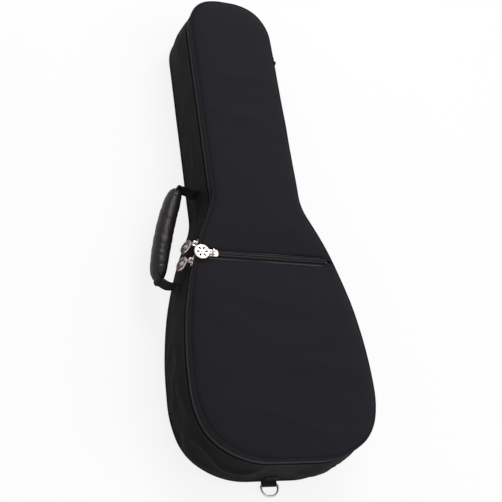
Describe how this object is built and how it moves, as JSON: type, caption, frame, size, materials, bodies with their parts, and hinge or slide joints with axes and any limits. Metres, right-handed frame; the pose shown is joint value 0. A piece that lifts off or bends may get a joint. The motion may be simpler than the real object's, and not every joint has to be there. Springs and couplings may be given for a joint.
{
  "type": "instrument gig bag",
  "caption": "Black padded gig bag for a charango, with a zipped lid, a lid pocket, a side handle, a foot ring and a strap loop.",
  "frame": {"origin": "middle of the back panel's outer face, on the bag's centre line at half its length", "axes": "+Z out of the lid, away from the back; +Y towards the head end; +X to the right, looking at the lid with the head up"},
  "size_m": [0.2638, 0.7017, 0.0999],
  "materials": {
    "bag_cloth": "woven, matte",
    "lining_cloth": "smooth woven",
    "padding": "foam",
    "webbing": "ribbed weave",
    "zip_tape": "fine weave",
    "zip_coil": "satin",
    "handle_vinyl": "glossy, creased",
    "pull_metal": "pale plated",
    "ring_steel": "plated wire"
  },
  "bodies": {
    "bag": {"back_panel": "bag_cloth", "back_padding": "padding", "back_lining": "lining_cloth", "gusset_panel": "bag_cloth", "gusset_padding": "padding", "gusset_lining": "lining_cloth", "edge_binding": "lining_cloth", "gusset_zip_tape": "zip_tape", "gusset_zip_coil": "zip_coil", "hinge_strip": "bag_cloth", "handle_head_patch": "webbing", "handle_foot_patch": "webbing", "ring_tab": "webbing", "strap_loop": "webbing"},
    "lid": {"lid_panel": "bag_cloth", "lid_band": "bag_cloth", "lid_padding": "padding", "lid_lining": "lining_cloth", "lid_piping": "webbing", "lid_zip_tape": "zip_tape", "lid_zip_coil": "zip_coil", "front_upper_panel": "bag_cloth", "pocket_panel": "bag_cloth", "pocket_zip_tape": "zip_tape", "pocket_zip_coil": "zip_coil"},
    "handle": {"handle_cover": "handle_vinyl", "handle_padding": "padding", "handle_webbing": "webbing"},
    "foot_ring": {"foot_ring": "ring_steel"},
    "upper_slider": {"upper_slider": "pull_metal"},
    "upper_link": {"upper_link": "pull_metal"},
    "upper_medallion": {"upper_medallion": "pull_metal"},
    "lower_slider": {"lower_slider": "pull_metal"},
    "lower_link": {"lower_link": "pull_metal"},
    "lower_medallion": {"lower_medallion": "pull_metal"},
    "pocket_slider": {"pocket_slider": "pull_metal"},
    "pocket_link": {"pocket_link": "pull_metal"},
    "pocket_medallion": {"pocket_medallion": "pull_metal"}
  },
  "joints": [
    {"name": "lid_hinge", "type": "hinge", "parent": "bag", "child": "lid", "pos_m": [0.11774, -0.17623, 0.078], "axis": [-0.1173, 0.9931, 0], "range_deg": [0, 170], "deforming": ["hinge_strip"]},
    {"name": "upper_slider_run", "type": "hinge", "parent": "bag", "child": "upper_slider", "pos_m": [0.38, -0.235, 0.078], "axis": [0, 0, 1], "range_deg": [-3, 0]},
    {"name": "upper_link_swing", "type": "hinge", "parent": "upper_slider", "child": "upper_link", "pos_m": [-0.09315, -0.05936, 0.078], "axis": [0.348, 0.9375, 0], "range_deg": [-10, 140]},
    {"name": "upper_medallion_swing", "type": "hinge", "parent": "upper_link", "child": "upper_medallion", "pos_m": [-0.09463, -0.05882, 0.07368], "axis": [0.881, -0.327, -0.342], "range_deg": [-20, 20]},
    {"name": "lower_slider_run", "type": "hinge", "parent": "bag", "child": "lower_slider", "pos_m": [0.38, -0.235, 0.078], "axis": [0, 0, 1], "range_deg": [0, 15]},
    {"name": "lower_link_swing", "type": "hinge", "parent": "lower_slider", "child": "lower_link", "pos_m": [-0.10145, -0.08359, 0.078], "axis": [0.3, 0.9539, 0], "range_deg": [-10, 140]},
    {"name": "lower_medallion_swing", "type": "hinge", "parent": "lower_link", "child": "lower_medallion", "pos_m": [-0.10295, -0.08312, 0.07368], "axis": [0.8964, -0.2819, -0.342], "range_deg": [-20, 20]},
    {"name": "pocket_slider_slide", "type": "slide", "parent": "lid", "child": "pocket_slider", "axis": [1, 0, 0], "range_m": [0, 0.152]},
    {"name": "pocket_link_swing", "type": "hinge", "parent": "pocket_slider", "child": "pocket_link", "pos_m": [-0.076, -0.08, 0.0976], "axis": [0, 1, 0], "range_deg": [0, 150]},
    {"name": "pocket_medallion_swing", "type": "hinge", "parent": "pocket_link", "child": "pocket_medallion", "pos_m": [-0.08057, -0.08, 0.09712], "axis": [-0.1045, 0, 0.9945], "range_deg": [-30, 30]},
    {"name": "handle_swing", "type": "hinge", "parent": "bag", "child": "handle", "pos_m": [-0.08465, -0.03538, 0.04], "axis": [0.2815, 0.9596, 0], "range_deg": [-50, 12], "deforming": ["handle_webbing"]},
    {"name": "foot_ring_swing", "type": "hinge", "parent": "bag", "child": "foot_ring", "pos_m": [0, -0.3455, 0.0032], "axis": [-1, 0, 0], "range_deg": [0, 100]}
  ]
}
